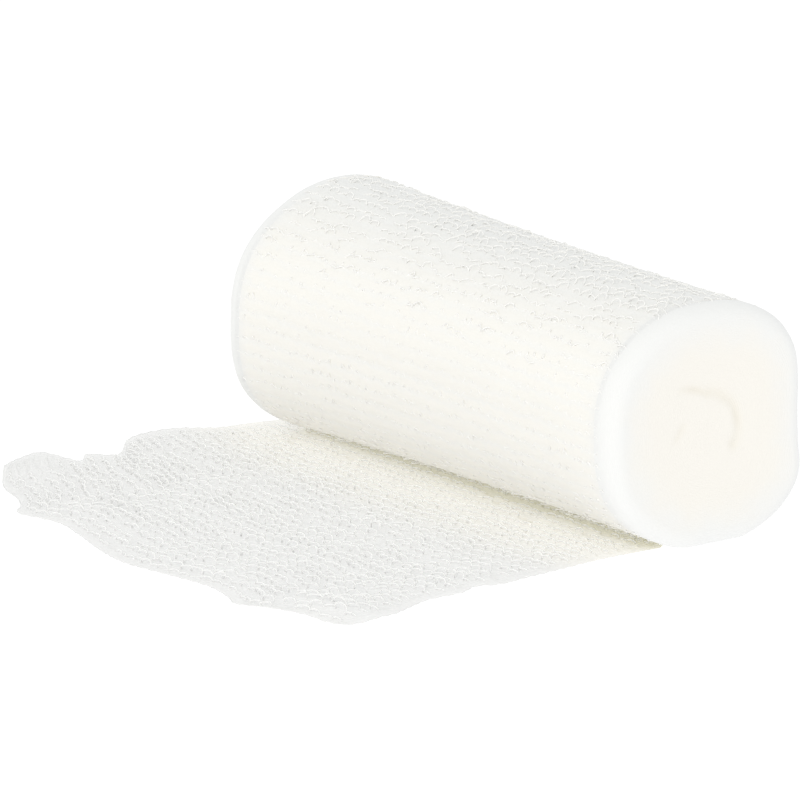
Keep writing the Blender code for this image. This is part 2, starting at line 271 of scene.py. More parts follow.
def seat_depth(degrees, x):
    """How far the winding draws in under the sheet that leaves it."""
    start, end = SEAT_ANGLES
    turned = degrees % 360.0
    drawn = REST * np.clip((turned - start) / (end - start), 0, 1)
    return np.where((turned > WRAP_ANGLE) | (x > SEAT_END), 0.0, drawn)


def rest_height(x):
    """How high the winding lies: on the loose end, and lower where its soft end hangs past the sheet."""
    return REST - (REST - DROOP) * ramp(x, SEAT_END, SEAT_END + DROOP_RUN)


def side_points(degrees, x, inset, floor):
    """Points of the winding's side, inset below the outer turn and never under a floor."""
    degrees, x, inset = np.broadcast_arrays(np.asarray(degrees, float), x, inset)
    radius = section_radius(degrees, x) - inset
    angle = np.radians(degrees)
    height = np.maximum(AXIS_HEIGHT + radius * np.sin(angle), floor)
    return np.stack((x, radius * np.cos(angle), height), axis=-1)


def even_outline(rows):
    """Points at even distances along a smooth curve through an edge's rows."""
    points = np.array(rows, float)
    padded = np.vstack((2 * points[0] - points[1], points, 2 * points[-1] - points[-2]))
    shares = np.linspace(0, 1, CURVE_STEPS, endpoint=False)[:, None]
    trail = [hermite(*padded[i:i + 4], shares) for i in range(len(points) - 1)]
    trail = np.vstack(trail + [points[-1:]])
    reached = np.append(0, np.cumsum(np.linalg.norm(np.diff(trail, axis=0), axis=1)))
    even = np.linspace(0, reached[-1], OUTLINE_POINTS)
    return np.stack([np.interp(even, reached, trail[:, axis]) for axis in range(3)], axis=-1)


def along_edge(edge, share):
    """Points of an even outline at shares of its length."""
    steps = np.linspace(0, 1, len(edge))
    return np.stack([np.interp(share, steps, edge[:, axis]) for axis in range(3)], axis=-1)


def course_shares(count):
    """Shares t of the loose end's courses, closer together by the roll than in the relaxed cloth."""
    pitches = (COURSE_NEAR, COURSE_NEAR, COURSE_FAR, COURSE_FAR)
    pitch = np.interp(np.linspace(0, 1, count), (0, 0.25, 0.5, 1), pitches)
    reached = np.append(0, np.cumsum(pitch))
    return reached / reached[-1]


EDGES = {"near": even_outline(NEAR_SELVEDGE), "far": even_outline(FAR_SELVEDGE),
         "cut": even_outline(CUT_END)}
LOOSE_WIDTH = float(np.linalg.norm(EDGES["near"][0] - EDGES["far"][0]))
LOOSE_LENGTH = float(np.linalg.norm(EDGES["near"][0] - EDGES["near"][-1]))
STITCH_PITCH = LOOSE_WIDTH / STITCHES
COURSES = course_shares(LOOSE_COURSES)


def fade(distance):
    """How much of an edge's lift is left at a distance in from it."""
    return np.exp(-((distance / EDGE_FADE) ** 2))


def ripple_height(x, y):
    """Summed swell of the laid cloth at a place."""
    total = 0.0
    for ripple in RIPPLES:
        angle = math.radians(ripple.heading)
        dx, dy = x - ripple.x, y - ripple.y
        along = (dx * math.cos(angle) + dy * math.sin(angle)) / ripple.half_length
        aside = (dy * math.cos(angle) - dx * math.sin(angle)) / ripple.half_width
        total = total + ripple.height * np.exp(-(along ** 2 + aside ** 2))
    return total


def laid_points(s, t):
    """Underside of the laid cloth, s across from the near selvedge and t out to the cut end."""
    s, t = np.broadcast_arrays(np.asarray(s, float), np.asarray(t, float))
    near, far, cut = along_edge(EDGES["near"], t), along_edge(EDGES["far"], t), along_edge(EDGES["cut"], s)
    s1, t1 = s[..., None], t[..., None]
    tuck = EDGES["near"][0] * (1 - s1) + EDGES["far"][0] * s1
    outer = EDGES["near"][-1] * (1 - s1) + EDGES["far"][-1] * s1
    place = near * (1 - s1) + far * s1 + tuck * (1 - t1) + cut * t1 - tuck * (1 - t1) - outer * t1
    lift = (near[..., 2] * fade(s * LOOSE_WIDTH) + far[..., 2] * fade((1 - s) * LOOSE_WIDTH)
            + cut[..., 2] * fade((1 - t) * LOOSE_LENGTH)
            + t * ripple_height(place[..., 0], place[..., 1]))
    place[..., 2] = np.maximum(lift - SETTLE, 0)
    return place


def wrap_points(degrees, s, inset, floor):
    """The sheet where it lies up the winding's back and under its flat spot."""
    near, far = EDGES["near"][0][0], EDGES["far"][0][0]
    joined = RIM_RADIUS / 2 - ROLL_LENGTH / 2
    share = np.clip((degrees - TUCK_ANGLE) / (WRAP_ANGLE - TUCK_ANGLE), 0, 1)
    x = near + (far + (joined - far) * share - near) * s
    return side_points(degrees, x, inset, floor)


def core_gap(degrees, radius):
    """How far a place on the end face is within a gap of the core, and how deep it is sunk."""
    inside, depth = 0.0, 0.0
    for gap in CORE_GAPS:
        route = np.array(gap.route)
        start, end = route[0, 0], route[-1, 0]
        turned = (degrees - start + GAP_LEAD) % 360.0 + start - GAP_LEAD
        away = (radius - np.interp(turned, route[:, 0], route[:, 1])) / gap.width
        opened = ramp(turned, start + GAP_OPENS[0], start + GAP_OPENS[1])
        closed = ramp(turned, end + GAP_CLOSES[0], end + GAP_CLOSES[1])
        share = np.exp(-(away ** 2)) * (opened * (1 - closed))
        inside, depth = inside + share, depth + gap.depth * share
    return inside, depth


# ---------------------------------------------------------------- nodes and meshes


class Wire:
    """An output socket. Arithmetic on it adds the Math nodes that work it out."""

    def __init__(self, bench, node, socket):
        self.bench, self.node, self.socket = bench, node, socket

    def out(self, name):
        return Wire(self.bench, self.node, self.node.outputs[name])

    def math(self, operation, *terms):
        return self.bench.add("ShaderNodeMath", {"operation": operation}, dict(enumerate(terms)))

    def __add__(self, other):
        return self.math("ADD", self, other)

    def __radd__(self, other):
        return self.math("ADD", self, other)

    def __sub__(self, other):
        return self.math("SUBTRACT", self, other)

    def __rsub__(self, other):
        return self.math("SUBTRACT", other, self)

    def __mul__(self, other):
        return self.math("MULTIPLY", self, other)

    def __rmul__(self, other):
        return self.math("MULTIPLY", self, other)

    def __truediv__(self, other):
        return self.math("DIVIDE", self, other)

    def __pow__(self, other):
        return self.math("POWER", self, other)

    def sin(self):
        return self.math("SINE", self)

    def cos(self):
        return self.math("COSINE", self)

    def floor(self):
        return self.math("FLOOR", self)


class Bench:
    """Adds nodes to one tree, each with its settings first and then its sockets."""

    def __init__(self, tree):
        self.tree = tree

    def feed(self, node, sockets):
        """Give a node's sockets their values or links."""
        for name, value in sockets.items():
            if isinstance(value, Wire):
                self.tree.links.new(value.socket, node.inputs[name])
            else:
                node.inputs[name].default_value = value

    def add(self, kind, settings=None, sockets=None, out=0):
        """A new node, as the wire of one of its outputs."""
        node = self.tree.nodes.new(kind)
        for name, value in (settings or {}).items():
            setattr(node, name, value)
        self.feed(node, sockets or {})
        return Wire(self, node, node.outputs[out] if len(node.outputs) else None)

    def mix(self, factor, low, high):
        """Colour between low and high."""
        return self.add("ShaderNodeMix", {"data_type": "RGBA"}, {0: factor, 6: low, 7: high}, out=2)

    def step(self, value, low, high):
        """Smooth 0 to 1 as the value goes from low to high."""
        return self.add("ShaderNodeMapRange", {"interpolation_type": "SMOOTHSTEP"},
                        {"Value": value, "From Min": low, "From Max": high})

    def noise(self, place, scale, detail, out=0, **more):
        """Soft noise at a place."""
        return self.add("ShaderNodeTexNoise", {"noise_dimensions": "3D"},
                        {"Vector": place, "Scale": scale, "Detail": detail, **more}, out=out)

    def bump(self, height, strength, distance):
        """Normal of a surface with a relief in mm."""
        return self.add("ShaderNodeBump", None,
                        {"Strength": strength, "Distance": distance * MM, "Height": height})

    def painted(self, name):
        """A value that the mesh holds at its points."""
        return self.add("ShaderNodeAttribute", {"attribute_name": name}, out="Fac")

    def parts(self, vector):
        split = self.add("ShaderNodeSeparateXYZ", None, {0: vector})
        return split.out("X"), split.out("Y"), split.out("Z")

    def joined(self, x, y, z):
        return self.add("ShaderNodeCombineXYZ", None, {0: x, 1: y, 2: z})

    def scaled(self, vector, scale):
        return self.add("ShaderNodeVectorMath", {"operation": "SCALE"}, {0: vector, "Scale": scale})

    def summed(self, first, second):
        return self.add("ShaderNodeVectorMath", {"operation": "ADD"}, {0: first, 1: second})

    def centred(self, vector):
        """Noise from 0 to 1, moved to lie round 0."""
        return self.add("ShaderNodeVectorMath", {"operation": "SUBTRACT"}, {0: vector, 1: (0.5, 0.5, 0.5)})

    def crossed(self, first, second):
        return self.add("ShaderNodeVectorMath", {"operation": "CROSS_PRODUCT"}, {0: first, 1: second})


def material_bench(name):
    """A new material, its bench and its shader."""
    material = bpy.data.materials.new(name)
    material.use_nodes = True
    tree = material.node_tree
    return material, Bench(tree), tree.nodes["Principled BSDF"]


def in_row_frame(points):
    """Points in mm in the bandage's own frame, as metres in the row frame."""
    return (np.asarray(points, float) + ROLL_PLACE) * MM


def grid_faces(rows, columns, closed):
    """Faces of a grid as places (row, column). In a closed one the column past the last is the first."""
    return [((row, column), (row, column + 1), (row + 1, column + 1), (row + 1, column))
            for row in range(rows - 1) for column in range(columns if closed else columns - 1)]


def cloth_mesh(name, points, faces, knit, materials):
    """A smooth mesh whose knit map gives each corner its stitch and course, or its turn and radius."""
    mesh = bpy.data.meshes.new(name)
    mesh.from_pydata(in_row_frame(points).tolist(), [], faces)
    uv = mesh.uv_layers.new(name="knit")
    uv.data.foreach_set("uv", np.array(knit, np.float32).ravel())
    for material in materials:
        mesh.materials.append(material)
    mesh.shade_smooth()
    mesh.update()
    return mesh


def paint(mesh, name, values, kind="FLOAT"):
    """Give a mesh's points a value that its material or its node tree reads."""
    attribute = mesh.attributes.new(name, kind, "POINT")
    key = "vector" if kind == "FLOAT_VECTOR" else "value"
    attribute.data.foreach_set(key, np.asarray(values).astype(np.float32).ravel())


def place_piece(name, mesh):
    piece = bpy.data.objects.new(name, mesh)
    bpy.context.scene.collection.objects.link(piece)
    return piece


# ---------------------------------------------------------------- yarn loops by Geometry Nodes

YARN_INPUTS = (
    ("Paths", "Geometry"), ("Steps", "Int"), ("Height", "Float"), ("Share", "Float"), ("Skipped", "Float"),
    ("Bulge", "Float"), ("Pinch", "Float"), ("Skew", "Float"), ("Lean", "Float"), ("Spread", "Float"),
    ("Sway", "Float"), ("Wander", "Float"), ("Radius", "Float"), ("Sides", "Int"), ("Seed", "Int"),
    ("Finish", "Material"),
)


def yarn_tree():
    """Turns paths along the cloth into yarns that rise in a loop at each stitch."""
    tree = bpy.data.node_groups.new("yarn_loops", "GeometryNodeTree")
    for name, kind in YARN_INPUTS:
        tree.interface.new_socket(name=name, in_out="INPUT", socket_type="NodeSocket" + kind)
    tree.interface.new_socket(name="Yarns", in_out="OUTPUT", socket_type="NodeSocketGeometry")
    bench = Bench(tree)
    given = bench.add("NodeGroupInput")
    curves = bench.add("GeometryNodeMeshToCurve", None, {"Mesh": given.out("Paths")})
    curves = bench.add("GeometryNodeSubdivideCurve", None,
                       {"Curve": curves, "Cuts": given.out("Steps") - 1})

    def stored(name, kind="FLOAT"):
        return bench.add("GeometryNodeInputNamedAttribute", {"data_type": kind}, {"Name": name})

    def random(low, high, draw):
        """A number of each loop's own; the node's sockets 2 and 3 are its lowest and highest float."""
        return bench.add("FunctionNodeRandomValue", {"data_type": "FLOAT"},
                         {2: low, 3: high, "ID": stitch_id, "Seed": given.out("Seed") + draw}, out=1)

    stitch, slack, course = stored("stitch"), stored("slack"), stored("course")
    rise, pitch = stored("rise", "FLOAT_VECTOR"), stored("pitch")
    stitch_id = bench.add("FunctionNodeFloatToInt", {"rounding_mode": "FLOOR"},
                          {0: (stitch + 0.002).floor() + course * IDS_A_COURSE})
    along = stitch - stitch.floor()
    phase = along * math.tau
    swell = (along * (1 - along) * 4.0) ** given.out("Pinch")
    half_count = (stitch.floor() + course) * 0.5
    odd = (half_count - half_count.floor()) * 2.0
    way = bench.add("GeometryNodeInputTangent")
    aside = bench.crossed(rise, way)
    drawn = random(0.0, 1.0, 4)
    stands = drawn.math("LESS_THAN", drawn, given.out("Share")) * (1 - odd * given.out("Skipped"))
    up = slack * given.out("Height") * random(*HEIGHT_RANGE, 0) * stands * swell
    forth = pitch * slack * (swell * given.out("Skew") * random(*SKEW_RANGE, 3)
                             - phase.sin() * given.out("Bulge") * random(*BULGE_RANGE, 1))
    sideways = (up * (given.out("Lean") + given.out("Spread") * random(-1.0, 1.0, 2))
                + phase.sin() * slack * given.out("Sway"))
    drift = bench.centred(bench.noise(bench.add("GeometryNodeInputPosition"), DRIFT_SCALE, 1.0, "Color"))
    offset = bench.summed(bench.scaled(rise, up), bench.scaled(way, forth))
    offset = bench.summed(offset, bench.scaled(aside, sideways))
    offset = bench.summed(offset, bench.scaled(drift, given.out("Wander") * swell))
    curves = bench.add("GeometryNodeStoreNamedAttribute", {"data_type": "FLOAT", "domain": "POINT"},
                       {"Geometry": curves, "Name": "tone", "Value": random(0.0, 1.0, 5)})
    curves = bench.add("GeometryNodeSetPosition", None, {"Geometry": curves, "Offset": offset})
    section = bench.add("GeometryNodeCurvePrimitiveCircle", {"mode": "RADIUS"},
                        {"Resolution": given.out("Sides"), "Radius": given.out("Radius")})
    yarns = bench.add("GeometryNodeCurveToMesh", None,
                      {"Curve": curves, "Profile Curve": section, "Fill Caps": True})
    yarns = bench.add("GeometryNodeSetShadeSmooth", None, {"Geometry": yarns})
    yarns = bench.add("GeometryNodeRealizeInstances", None, {"Geometry": yarns})
    yarns = bench.add("GeometryNodeSetMaterial", None,
                      {"Geometry": yarns, "Material": given.out("Finish")})
    bench.add("NodeGroupOutput", None, {"Yarns": yarns})
    return tree


def yarn_path(points, rise, stitch, course, slack):
    """One yarn's route, with what the yarn tree reads at each of its points."""
    count = len(points)
    return {"points": points, "rise": np.broadcast_to(rise, (count, 3)),
            "stitch": stitch, "course": np.full(count, float(course)),
            "slack": slack, "pitch": np.full(count, STITCH_PITCH * MM)}


def path_mesh(name, paths):
    """Edges along each path, with the paths' values on their points."""
    points = np.vstack([in_row_frame(path["points"]) for path in paths])
    edges, start = [], 0
    for path in paths:
        count = len(path["points"])
        edges.append(np.stack((np.arange(count - 1), np.arange(1, count)), axis=-1) + start)
        start += count
    mesh = bpy.data.meshes.new(name)
    mesh.from_pydata(points.tolist(), np.vstack(edges).tolist(), [])
    for key in ("stitch", "course", "slack", "pitch"):
        paint(mesh, key, np.concatenate([path[key] for path in paths]))
    paint(mesh, "rise", np.concatenate([path["rise"] for path in paths]), "FLOAT_VECTOR")
    return mesh


def yarn_piece(name, paths, yarn, finish, tree):
    """A plain mesh of all the yarns that follow the paths."""
    guide = place_piece(name + "_paths", path_mesh(name + "_paths", paths))
    modifier = guide.modifiers.new("yarn_loops", "NODES")
    modifier.node_group = tree
    values = {key.capitalize(): value for key, value in yarn._asdict().items()}
    for key in ("Height", "Sway", "Wander", "Radius"):
        values[key] *= MM
    values["Finish"] = finish
    for item in tree.interface.items_tree:
        if item.in_out == "INPUT" and item.name in values:
            modifier[item.identifier] = values[item.name]
    depsgraph = bpy.context.evaluated_depsgraph_get()
    mesh = bpy.data.meshes.new_from_object(guide.evaluated_get(depsgraph),
                                           preserve_all_data_layers=True, depsgraph=depsgraph)
    guide.modifiers.remove(modifier)
    bpy.data.objects.remove(guide)
    mesh.name = name
    return place_piece(name, mesh)


# ---------------------------------------------------------------- the winding


def rim_rings(side, turns):
    """Rings over one soft rim, from the winding's side to its end face."""
    rings = []
    for step in range(RIM_STEPS + 1):
        turn = math.radians(90.0 / RIM_STEPS * step)
        x = side * (ROLL_LENGTH / 2 - RIM_RADIUS * (1 - math.sin(turn)))
        inset = RIM_RADIUS * (1 - math.cos(turn)) + GROUND_DEPTH * math.cos(turn) ** 2
        seated = max(1 - inset / RIM_RADIUS, 0.0)
        points = side_points(turns, x, inset + seated * seat_depth(turns, x), rest_height(x) + inset)
        left = math.radians(90.0 - 90.0 / RIM_STEPS * step)
        rings.append(Ring(points, RIM_MAP + RIM_RADIUS * left, 0 * turns))
    return rings


def face_rings(side, rim_points, turns):
    """Rings over one end face, from its rim in to its core, and the core's own point."""
    middle = np.array((side * ROLL_LENGTH / 2, 0.0, AXIS_HEIGHT))
    spokes = rim_points - middle
    lengths = np.linalg.norm(spokes, axis=1, keepdims=True)
    unit, mean = spokes / lengths, lengths.mean()
    shares = [row.share for row in END_FACE][::-1]
    depths = [row.depth for row in END_FACE][::-1]
    rings = []
    for share in np.linspace(0.98, 0.02, FACE_RINGS):
        radius = share * mean
        inside, sunk = core_gap(turns, radius)
        centre = middle + np.array((0.0, CORE_SHIFT * (1 - share), 0.0))
        points = centre + (unit * (1 - share) + spokes / mean * share) * radius
        points[:, 0] -= side * (np.interp(share, shares, depths) + sunk)
        rings.append(Ring(points, radius, inside))
    return rings, middle + np.array((-side * FACE_CENTRE_DEPTH, CORE_SHIFT, 0.0))


def wound_rings(turns):
    """Rings of the winding from the core of its open end over the side to the far core, and both cores."""
    near_rim, far_rim = rim_rings(1, turns), rim_rings(-1, turns)
    near_face, near_core = face_rings(1, near_rim[-1].points, turns)
    far_face, far_core = face_rings(-1, far_rim[-1].points, turns)
    inner = ROLL_LENGTH / 2 - RIM_RADIUS
    side = [Ring(side_points(turns, x, GROUND_DEPTH + seat_depth(turns, x), rest_height(x)), None, 0 * turns)
            for x in np.linspace(inner, -inner, SIDE_RINGS)[1:-1]]
    return near_face[::-1] + near_rim[::-1] + side + far_rim + far_face, near_core, far_core


def ring_knit(ring, around):
    """Knit map of a ring: stitch and course on the side, turn and radius on the rims and faces."""
    if ring.radius is None:
        stitch = np.full(len(around), ring.points[0, 0] * STITCHES / LOOSE_WIDTH)
        return np.stack((stitch, around / COURSE_DEGREES), axis=-1)
    return np.stack((around / 360.0, np.full(len(around), ring.radius)), axis=-1)


def wound_gauze(side_finish, end_finish):
    """The winding: its side's ground, soft rims and both end faces, one closed mesh."""
    turns = np.arange(0, 360.0, TURN_STEP)
    turns = np.sort(np.append(turns, WRAP_ANGLE + np.array(STEP_BITE)))
    rings, near_core, far_core = wound_rings(turns)
    columns, last = len(turns), len(rings) - 1
    knit_map = np.array([ring_knit(ring, np.append(turns, 360.0)) for ring in rings])
    places = grid_faces(len(rings), columns, closed=True)
    faces = [[row * columns + column % columns for row, column in face] for face in places]
    knit = [knit_map[place] for face in places for place in face]
    at_end = [ring.radius is not None for ring in rings]
    finishes = [int(at_end[face[0][0]] or at_end[face[2][0]]) for face in places]
    cores = len(rings) * columns
    for column in range(columns):
        for row, core, (one, other) in ((0, cores, (column + 1, column)),
                                        (last, cores + 1, (column, column + 1))):
            faces.append([row * columns + one % columns, row * columns + other % columns, core])
            knit += [knit_map[row, one], knit_map[row, other], (knit_map[row, column, 0], 0.0)]
            finishes.append(1)
    points = np.vstack([ring.points for ring in rings] + [near_core, far_core])
    mesh = cloth_mesh("wound_gauze", points, faces, knit, [side_finish, end_finish])
    mesh.polygons.foreach_set("material_index", finishes)
    paint(mesh, "core_gap", np.append(np.array([ring.gap for ring in rings]), (0.0, 0.0)))
    # Painted shade under the standing loops: on the back, top and underside, none over the front.
    loop_shade = 1 - ramp(turns, *TOP_LOOP_SHADE) + ramp(turns, *FOOT_LOOP_SHADE)
    paint(mesh, "painted_light_mask", np.append(np.tile(loop_shade, len(rings)), (1.0, 1.0)))
    paint(mesh, "edge_distance", ROLL_LENGTH / 2 - RIM_RADIUS * 0.7 - np.abs(points[:, 0]))
    return place_piece("wound_gauze", mesh)


def roll_weft_paths(courses):
    """Courses along the winding's side and a little way over its rims, one path each."""
    flat = ROLL_LENGTH / 2 - RIM_RADIUS
    reach = int((flat + RIM_RADIUS * RIM_SHARE) * STITCHES / LOOSE_WIDTH)
    stitch = np.arange(-reach, reach + 1)
    x = stitch * LOOSE_WIDTH / STITCHES
    over = np.maximum(np.abs(x) - flat, 0)
    inset = RIM_RADIUS - np.sqrt(RIM_RADIUS ** 2 - over ** 2)
    to_rim = ramp(np.abs(x), flat - BARE_RIM[0], flat + BARE_RIM[1])
    press_angle, press_width, press_share = PRESSED_AT
    wave_height, wave_run = COURSE_WAVE
    noise = np.random.default_rng(courses.seed)
    first, last = (round(degrees / COURSE_DEGREES) for degrees in courses.degrees)
    paths = []
    for number in range(first, last + 1):
        degrees = number * COURSE_DEGREES
        wave = (degrees + wave_height * np.sin(x / wave_run + number)
                + noise.uniform(-COURSE_JITTER, COURSE_JITTER, len(x)))
        points = side_points(wave, x, inset + GROUND_DEPTH + courses.sunk, REST)
        angle = np.radians(wave)
        rise = np.stack((0 * x, np.cos(angle), np.sin(angle)), axis=-1)
        open_end_share = 0.6 if degrees > LOOPS_OVER_RIM else 1.0
        ends = 1 - np.where(x > 0, open_end_share, 1.0) * to_rim
        pressed = 1 - press_share * math.exp(-(((degrees - press_angle) / press_width) ** 2))
        laid_flat = courses.laid_flat * float(ramp(degrees, *LAID_FLAT_OVER))
        standing = noise.random(len(x)) > laid_flat
        foot = 1 + float(ramp(degrees, *FOOT_OVER))
        slack = noise.uniform(*ROLL_SLACK, len(x)) * ends * pressed * standing * (1 - 0.4 * laid_flat) * foot
        paths.append(yarn_path(points, rise, stitch + 200.0, courses.seed * 100.0 + number, slack))
    return paths


# ---------------------------------------------------------------- the loose end


def loose_gauze(finish):
    """The loose end's ground: one thin sheet from the winding's back, under it and out in front."""
    s = np.linspace(0, 1, 4 * STITCHES + 1)
    course = np.linspace(0, LOOSE_COURSES, 4 * LOOSE_COURSES + 1)
    t = np.interp(course, np.arange(LOOSE_COURSES + 1), COURSES)
    out = t * LOOSE_LENGTH
    laid = laid_points(s[None, :], t[:, None])
    quilt = (np.cos(math.tau * course)[:, None] * QUILT[0]
             + np.cos(math.tau * s * STITCHES)[None, :] * QUILT[1])
    laid[..., 2] += GROUND_HEIGHT + quilt * ramp(t, 0.05, 0.3)[:, None]
    wrap_degrees = np.arange(WRAP_ANGLE, TUCK_ANGLE, -TURN_STEP)
    wrap = wrap_points(wrap_degrees[:, None], s[None, :], GROUND_DEPTH, GROUND_HEIGHT)
    points = np.concatenate((wrap, laid))
    v = np.append((TUCK_ANGLE - wrap_degrees) / COURSE_DEGREES, course)
    knit_map = np.stack(np.broadcast_arrays(s[None, :] * STITCHES, v[:, None]), axis=-1)
    rows, columns = points.shape[:2]
    places = grid_faces(rows, columns, closed=False)
    faces = [[row * columns + column for row, column in face] for face in places]
    knit = [knit_map[place] for face in places for place in face]
    mesh = cloth_mesh("loose_gauze", points.reshape(-1, 3), faces, knit, [finish])
    from_cut = np.append(np.full(len(wrap_degrees), LOOSE_LENGTH), (1 - t) * LOOSE_LENGTH)
    paint(mesh, "edge_distance", np.minimum(np.minimum(s, 1 - s)[None, :] * LOOSE_WIDTH, from_cut[:, None]))
    # Painted warm bounce light from the winding, with a more see-through ground, fading with distance from
    # the crease.
    roll_bounce_share = np.append(np.ones(len(wrap_degrees)), 1 - ramp(out, *ROLL_BOUNCE_REACH))
    paint(mesh, "painted_light_mask", np.repeat(roll_bounce_share, columns))
    # Painted shade in the crease where the sheet runs under the winding, fading out past the winding's ends.
    crease_shade_share = np.append(1 - ramp(wrap_degrees, *CREASE_WRAP),
                          0.7 * (1 - ramp(out, *CREASE_LINE)) + 0.3 * (1 - ramp(out, *CREASE_HALO)))
    under_roll = 1 - ramp(np.abs(points[..., 0]), SEAT_END, SEAT_END + CREASE_PAST)
    paint(mesh, "crease_shade", crease_shade_share[:, None] * under_roll)
    sheet = place_piece("loose_gauze", mesh)
    solidify = sheet.modifiers.new("cloth_thickness", "SOLIDIFY")
    solidify.thickness = SHEET_THICKNESS * MM
    solidify.offset = 0.0
    return sheet


def loose_weft_paths():
    """Courses of the loose end, from selvedge band to selvedge band, tauter towards the crease."""
    noise = np.random.default_rng(5)
    stitch = np.arange(1, STITCHES)
    count = len(stitch)
    across, along = LOOSE_JITTER
    paths = []
    for number, t in enumerate(COURSES[:-1]):
        s_row = stitch / STITCHES + noise.uniform(-across, across, count) / STITCHES
        t_row = t + noise.uniform(-along, along, count) * COURSE_NEAR / LOOSE_LENGTH
        points = laid_points(s_row, np.clip(t_row, 0, 1))
        points[:, 2] += GROUND_HEIGHT - YARN_SUNK
        from_corner = np.hypot(points[:, 0] - FAR_CORNER[0], points[:, 1] - FAR_CORNER[1])
        inside = ramp((1 - t) * LOOSE_LENGTH, *BARE_CUT) * ramp(from_corner, *SMOOTH_REACH)
        eased = 0.5 + 0.5 * ramp(t * LOOSE_LENGTH, *EASED_OVER)
        slack = eased * noise.uniform(*LOOSE_SLACK, count) * inside
        slack[[0, -1]] = 0.1
        paths.append(yarn_path(points, (0.0, 0.0, 1.0), stitch, 1 + number, slack))
    return paths


def wrap_weft_paths():
    """Courses of the loose end where it lies up the winding's back."""
    noise = np.random.default_rng(9)
    stitch = np.arange(1, STITCHES)
    count = len(stitch)
    paths = []
    for number, degrees in enumerate(np.arange(WRAP_ANGLE - TURN_STEP, WRAP_LOWEST, -COURSE_DEGREES)):
        points = wrap_points(np.full(count, degrees), stitch / STITCHES, GROUND_DEPTH, GROUND_HEIGHT)
        rise = (0.0, math.cos(math.radians(degrees)), math.sin(math.radians(degrees)))
        clear = ramp(points[:, 2], *WRAP_CLEAR)
        slack = (0.3 + 0.35 * noise.random(count)) * clear
        paths.append(yarn_path(points, rise, stitch, 120 + number, slack))
    return paths


# ---------------------------------------------------------------- finishes


def knit_relief(bench):
    """Masks of the knit's ground from its map: ribs, stitches, broad bands and loose fibres."""
    knit = bench.add("ShaderNodeUVMap", {"uv_map": "knit"})
    jitter = bench.centred(bench.noise(knit, 1.3, 3.0, "Color"))
    stitch, course, _ = bench.parts(bench.summed(knit, bench.scaled(jitter, 0.9)))
    rib = (course * math.tau).cos() * 0.5 + 0.5
    cell = rib * ((stitch * math.tau).cos() * 0.5 + 0.5)
    plain_stitch, plain_course, _ = bench.parts(knit)
    bands = bench.noise(bench.joined(plain_stitch * 0.035, plain_course * 0.55, 0.0), 1.0, 2.0)
    fibres = bench.noise(bench.joined(plain_stitch * 2.0, plain_course * 6.0, 0.0), 1.6, 4.0, Roughness=0.65)
    return rib, cell, bands, fibres


def ground_finish(name, colours, painted_light_tint, sheer):
    """The knit's ground: ribs along the courses, faint broad bands, loose fibres, soft selvedges.

    The winding's ground whitens towards its rims and has painted shade under its standing loops. The sheer
    one of the loose end has painted warm bounce light by the roll, where it is also more see-through so the
    glowing floor lightens its shade, and painted olive shade in the crease under it.
    """
    material, bench, shader = material_bench(name)
    rib, cell, bands, fibres = knit_relief(bench)
    pale, deep = colours
    edge, near = bench.painted("edge_distance"), bench.painted("painted_light_mask")
    inside = bench.step(edge, 0.8, SELVEDGE)
    colour = bench.mix(bands * 0.5 + fibres * 0.35 + rib * 0.15, deep, pale)
    # Painted light: shade under the winding's standing loops, or warm bounce light from the winding on the
    # loose end.
    colour = bench.mix(near * painted_light_tint[3], colour, (*painted_light_tint[:3], 1))
    height = (rib * 0.35 + cell * 0.3 + fibres * 0.7 + bands * 1.2) * inside
    bench.feed(shader, {"Normal": bench.bump(height, 0.4, 0.3), "Roughness": fibres * 0.1 + 0.85,
                        "Specular IOR Level": 0.1, "Sheen Weight": 0.1})
    if sheer:
        crease_shade = bench.painted("crease_shade")
        # Painted olive shade in the crease under the winding; the sheet is also less see-through there.
        colour = bench.mix(crease_shade * 0.65, colour, CREASE_SHADE_COLOUR)
        holes = bench.step(fibres + cell * 0.25, 0.7, 0.45)
        # More see-through by the roll so the glowing floor lightens the shade there, less see-through in the
        # shaded crease.
        alpha = 0.70 - holes * 0.1 * inside - (1 - inside) * 0.1 - near * 0.28 + crease_shade * 0.16
        bench.feed(shader, {"Alpha": alpha})
    else:
        colour = bench.mix((rib ** 2.0) * bands * 0.8, colour, SIDE_RIB)
        colour = bench.mix(1 - bench.step(edge + fibres * 2.0, 1.4, 5.5), colour, SIDE_RIM)
    bench.feed(shader, {"Base Color": colour})
    return material


def end_finish():
    """The winding's end: fine turns of soft selvedge, a pale rim, a cream middle and painted brown shade in
    the core's gaps.
    """
    material, bench, shader = material_bench("gauze_turns")
    turn, radius, _ = bench.parts(bench.add("ShaderNodeUVMap", {"uv_map": "knit"}))
    place = bench.add("ShaderNodeTexCoord", out="Object")
    soft, fine = bench.noise(place, 260.0, 3.0), bench.noise(place, 1500.0, 3.0)
    layers = ((radius / TURN_PITCH - turn + soft * 3.0) * math.tau).sin() * 0.5 + 0.5
    middle = 1 - bench.step(radius + (soft - 0.5) * 5.0, *MIDDLE_REACH)
    colour = bench.mix(middle, RIM_COLOUR, MIDDLE_COLOUR)
    colour = bench.mix(layers * 0.05, colour, LAYER_COLOUR)
    # Painted brown shade in the gaps of the core.
    colour = bench.mix(bench.painted("core_gap") * (soft * 0.6), colour, GAP_SHADE_COLOUR)
    height = layers * 0.12 + soft * 0.5 + fine * 0.35
    bench.feed(shader, {"Base Color": colour, "Normal": bench.bump(height, 0.35, 0.3),
                        "Roughness": fine * 0.1 + 0.86, "Specular IOR Level": 0.15, "Sheen Weight": 0.2})
    return material


